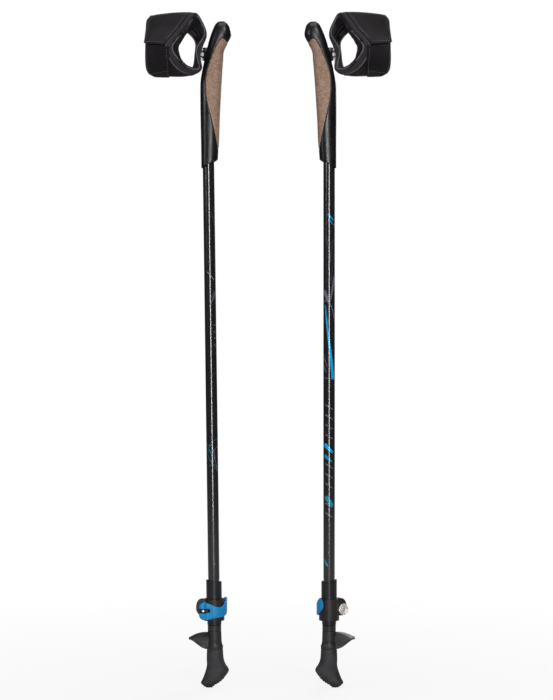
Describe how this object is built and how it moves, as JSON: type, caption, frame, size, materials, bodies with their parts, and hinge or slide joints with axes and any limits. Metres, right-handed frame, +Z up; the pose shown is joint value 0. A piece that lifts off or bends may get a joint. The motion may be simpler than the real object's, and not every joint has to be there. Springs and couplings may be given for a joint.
{
  "type": "pair of nordic walking poles",
  "caption": "Pair of telescopic walking poles with cork grips, padded hand straps, lever locks, leaf baskets and rubber paws.",
  "frame": {"origin": "on the ground plane, at the middle of the pair's box seen from above; the feet stand 158 mm apart", "axes": "+Z up along the poles, +X from the left pole to the right one, -Y towards the side the levers' pair is seen from"},
  "size_m": [0.3419, 0.0882, 0.9355],
  "materials": {
    "grip_body": "satin black moulded plastic",
    "grip_cork": "fine brown cork composite, matte",
    "strap_lug": "satin black moulded plastic",
    "strap_pin": "plain steel",
    "strap_cord": "black braided cord and webbing",
    "strap_cuff": "black padded knit with bound edges",
    "strap_flap": "black brushed loop fabric",
    "strap_tab": "black webbing with hook tape",
    "upper_shaft": null,
    "lower_shaft": "satin black anodised",
    "guide_bush": "natural white plastic",
    "lock_sleeve": "satin black moulded plastic",
    "lock_band": "satin black moulded plastic",
    "cam_plate": "bright steel",
    "lever_pin": "bright steel",
    "tension_screw": "bright plated steel",
    "nut_washer": "bright steel",
    "thumb_nut": "plated, fluted rim",
    "lock_lever": "satin cyan-blue moulded plastic",
    "ferrule": "matte dark grey moulded plastic",
    "carbide_tip": "ground hard metal",
    "basket": "matte dark grey moulded plastic",
    "rubber_paw": "matte black rubber",
    "paw_washer": "plain steel"
  },
  "bodies": {
    "left_pole": {"left_grip_body": "grip_body", "left_grip_cork": "grip_cork", "left_strap_lug": "strap_lug", "left_strap_pin": "strap_pin", "left_upper_shaft": "upper_shaft", "left_lock_sleeve": "lock_sleeve", "left_lock_band": "lock_band", "left_cam_plate": "cam_plate", "left_lever_pin": "lever_pin", "left_tension_screw": "tension_screw", "left_nut_washer": "nut_washer"},
    "left_strap": {"left_strap_cord": "strap_cord", "left_strap_cuff": "strap_cuff", "left_strap_flap": "strap_flap", "left_strap_tab": "strap_tab"},
    "left_lower": {"left_lower_shaft": "lower_shaft", "left_guide_bush": "guide_bush", "left_ferrule": "ferrule", "left_carbide_tip": "carbide_tip"},
    "left_lever": {"left_lock_lever": "lock_lever"},
    "left_nut": {"left_thumb_nut": "thumb_nut"},
    "left_basket": {"left_basket": "basket"},
    "left_paw": {"left_rubber_paw": "rubber_paw", "left_paw_washer": "paw_washer"},
    "right_pole": {"right_grip_body": "grip_body", "right_grip_cork": "grip_cork", "right_strap_lug": "strap_lug", "right_strap_pin": "strap_pin", "right_upper_shaft": "upper_shaft", "right_lock_sleeve": "lock_sleeve", "right_lock_band": "lock_band", "right_cam_plate": "cam_plate", "right_lever_pin": "lever_pin", "right_tension_screw": "tension_screw", "right_nut_washer": "nut_washer"},
    "right_strap": {"right_strap_cord": "strap_cord", "right_strap_cuff": "strap_cuff", "right_strap_flap": "strap_flap", "right_strap_tab": "strap_tab"},
    "right_lower": {"right_lower_shaft": "lower_shaft", "right_guide_bush": "guide_bush", "right_ferrule": "ferrule", "right_carbide_tip": "carbide_tip"},
    "right_lever": {"right_lock_lever": "lock_lever"},
    "right_nut": {"right_thumb_nut": "thumb_nut"},
    "right_basket": {"right_basket": "basket"},
    "right_paw": {"right_rubber_paw": "rubber_paw", "right_paw_washer": "paw_washer"}
  },
  "joints": [
    {"name": "left_telescope", "type": "slide", "parent": "left_pole", "child": "left_lower", "axis": [0.0131, 0, -0.9999], "range_m": [0, 0.4]},
    {"name": "left_lever_swing", "type": "hinge", "parent": "left_pole", "child": "left_lever", "pos_m": [-0.08983, 0.00655, 0.10779], "axis": [0.0131, 0, -0.9999], "range_deg": [0, 130]},
    {"name": "left_nut_turn", "type": "hinge", "parent": "left_pole", "child": "left_nut", "pos_m": [-0.0927, 0.02695, 0.10775], "axis": [-0.1392, 0.9903, -0.0018], "range_deg": [-360, 360]},
    {"name": "left_basket_turn", "type": "hinge", "parent": "left_lower", "child": "left_basket", "pos_m": [-0.07406, 0.0204, 0.06599], "axis": [-0.0131, 0, 0.9999], "continuous": true},
    {"name": "left_paw_pull", "type": "slide", "parent": "left_lower", "child": "left_paw", "axis": [0.0131, 0, -0.9999], "range_m": [0, 0.045]},
    {"name": "left_strap_swing", "type": "hinge", "parent": "left_pole", "child": "left_strap", "pos_m": [-0.08721, 0.0204, 0.87939], "axis": [-0.0131, 0, 0.9999], "range_deg": [-30, 30]},
    {"name": "pair_spread", "type": "slide", "parent": "left_pole", "child": "right_pole", "axis": [1, 0, 0], "range_m": [0, 0.3]},
    {"name": "right_telescope", "type": "slide", "parent": "right_pole", "child": "right_lower", "axis": [0, 0, -1], "range_m": [0, 0.4]},
    {"name": "right_lever_swing", "type": "hinge", "parent": "right_pole", "child": "right_lever", "pos_m": [0.09488, 0.03845, 0.108], "axis": [0, 0, -1], "range_deg": [0, 130]},
    {"name": "right_nut_turn", "type": "hinge", "parent": "right_pole", "child": "right_nut", "pos_m": [0.10423, 0.0201, 0.108], "axis": [0.454, -0.891, 0], "range_deg": [-360, 360]},
    {"name": "right_basket_turn", "type": "hinge", "parent": "right_lower", "child": "right_basket", "pos_m": [0.085, 0.0204, 0.066], "axis": [0, 0, 1], "continuous": true},
    {"name": "right_paw_pull", "type": "slide", "parent": "right_lower", "child": "right_paw", "axis": [0, 0, -1], "range_m": [0, 0.045]},
    {"name": "right_strap_swing", "type": "hinge", "parent": "right_pole", "child": "right_strap", "pos_m": [0.0875, 0.0204, 0.8795], "axis": [0, 0, 1], "range_deg": [-30, 30]}
  ]
}
